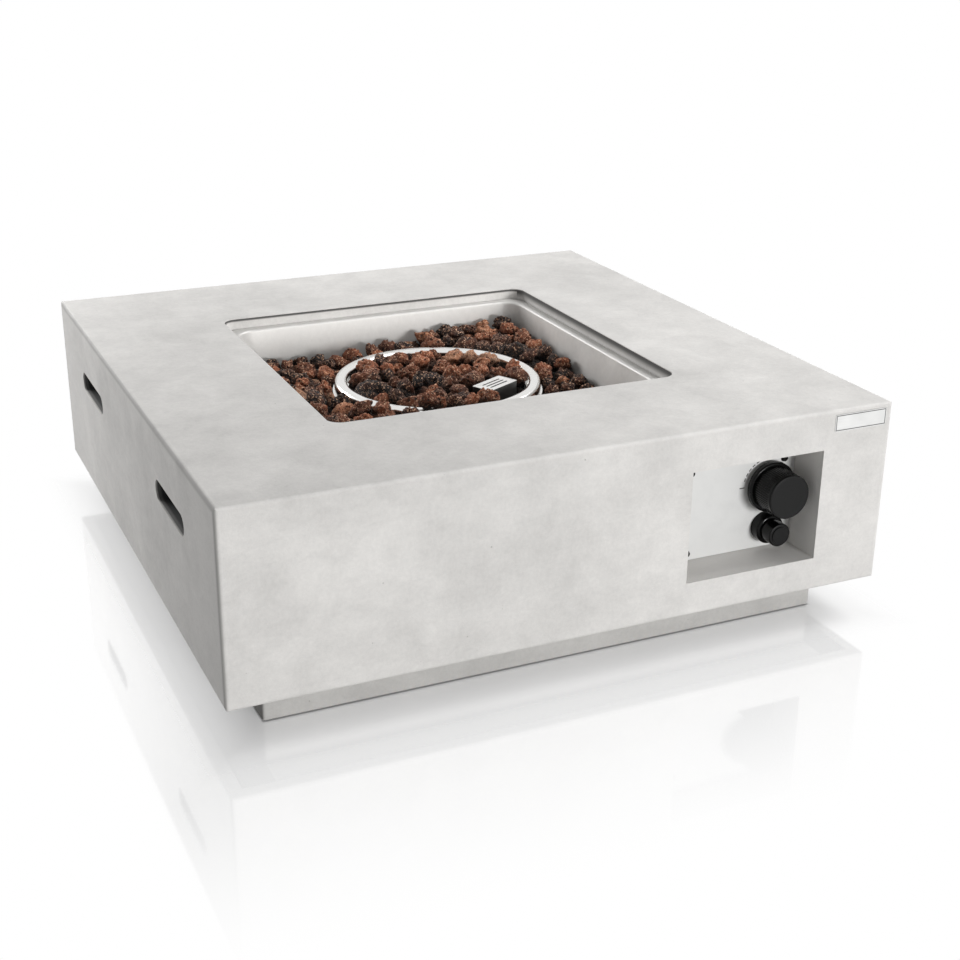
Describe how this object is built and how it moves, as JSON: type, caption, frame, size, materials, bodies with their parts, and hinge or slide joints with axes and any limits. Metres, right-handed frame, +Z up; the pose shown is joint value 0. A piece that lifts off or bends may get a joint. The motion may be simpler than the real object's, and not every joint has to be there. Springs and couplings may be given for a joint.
{
  "type": "gas fire pit table",
  "caption": "Low square cast-concrete gas fire pit table with a drop-in fire bowl, ring burner under lava stones, and a recessed niche with gas knob and push igniter.",
  "frame": {"origin": "On the floor, under the middle of the square table.", "axes": "+Z up, -Y towards the side with the control niche, +X to the right as seen from that side."},
  "size_m": [0.7, 0.7004, 0.24],
  "materials": {
    "concrete": "matte",
    "plinth_concrete": "matte",
    "rubber": "matte",
    "zinc_steel": "satin",
    "plate_metal": "satin",
    "bowl_metal": "satin",
    "burner_steel": "polished",
    "brass": "satin",
    "tube_aluminium": "satin",
    "dark_steel": "satin",
    "hood_steel": "satin",
    "electrode_ceramic": "gloss",
    "copper": "satin",
    "lead_rubber": "matte",
    "panel_white": "satin",
    "black_screw": "satin",
    "cast_aluminium": "matte",
    "knob_plastic": "satin",
    "igniter_plastic": "gloss",
    "battery_jacket": "gloss",
    "lava": "matte"
  },
  "bodies": {
    "table": {"table_shell": "concrete", "base_plinth": "plinth_concrete", "foot_pads": "rubber", "shell_brackets": "zinc_steel", "bracket_screws": "zinc_steel", "name_plate": "plate_metal", "fire_bowl": "bowl_metal", "burner_cover": "burner_steel", "burner_base": "burner_steel", "burner_legs": "burner_steel", "floor_screws": "zinc_steel", "floor_nuts": "zinc_steel", "burner_riser": "burner_steel", "riser_nut": "zinc_steel", "air_mixer": "zinc_steel", "gas_injector": "brass", "gas_tube": "tube_aluminium", "tube_nuts": "brass", "hood_bracket": "dark_steel", "flame_hood": "hood_steel", "hood_screws": "dark_steel", "spark_electrode": "electrode_ceramic", "electrode_rod": "dark_steel", "thermocouple": "copper", "thermocouple_lead": "copper", "thermocouple_nut": "brass", "ignition_lead": "lead_rubber", "control_panel": "panel_white", "panel_screws": "black_screw", "gas_valve": "cast_aluminium", "valve_bonnet": "zinc_steel", "valve_screws": "zinc_steel", "inlet_fitting": "brass", "stem_spring": "zinc_steel", "igniter_body": "igniter_plastic", "igniter_nut": "igniter_plastic", "igniter_battery": "battery_jacket", "lead_terminal": "brass", "lava_stones_low": "lava", "lava_stones_top": "lava"},
    "stem_slider": {"stem_collar": "brass"},
    "knob": {"control_knob": "knob_plastic", "valve_stem": "brass", "stem_clip": "dark_steel"},
    "cap": {"igniter_cap": "igniter_plastic", "button_spring": "zinc_steel"},
    "button": {"igniter_button": "igniter_plastic"}
  },
  "joints": [
    {"name": "knob_push", "type": "slide", "parent": "table", "child": "stem_slider", "axis": [0, 1, 0], "range_m": [0, 0.004], "stiffness_N_per_m": 900, "deforming": ["stem_spring"]},
    {"name": "knob_turn", "type": "hinge", "parent": "stem_slider", "child": "knob", "pos_m": [0.238, -0.304, 0.151], "axis": [0, -1, 0], "range_deg": [-90, 90]},
    {"name": "igniter_cap_off", "type": "slide", "parent": "table", "child": "cap", "axis": [0, -1, 0], "range_m": [0, 0.045]},
    {"name": "igniter_press", "type": "slide", "parent": "cap", "child": "button", "axis": [0, 1, 0], "range_m": [0, 0.003], "stiffness_N_per_m": 500, "deforming": ["button_spring"]}
  ]
}
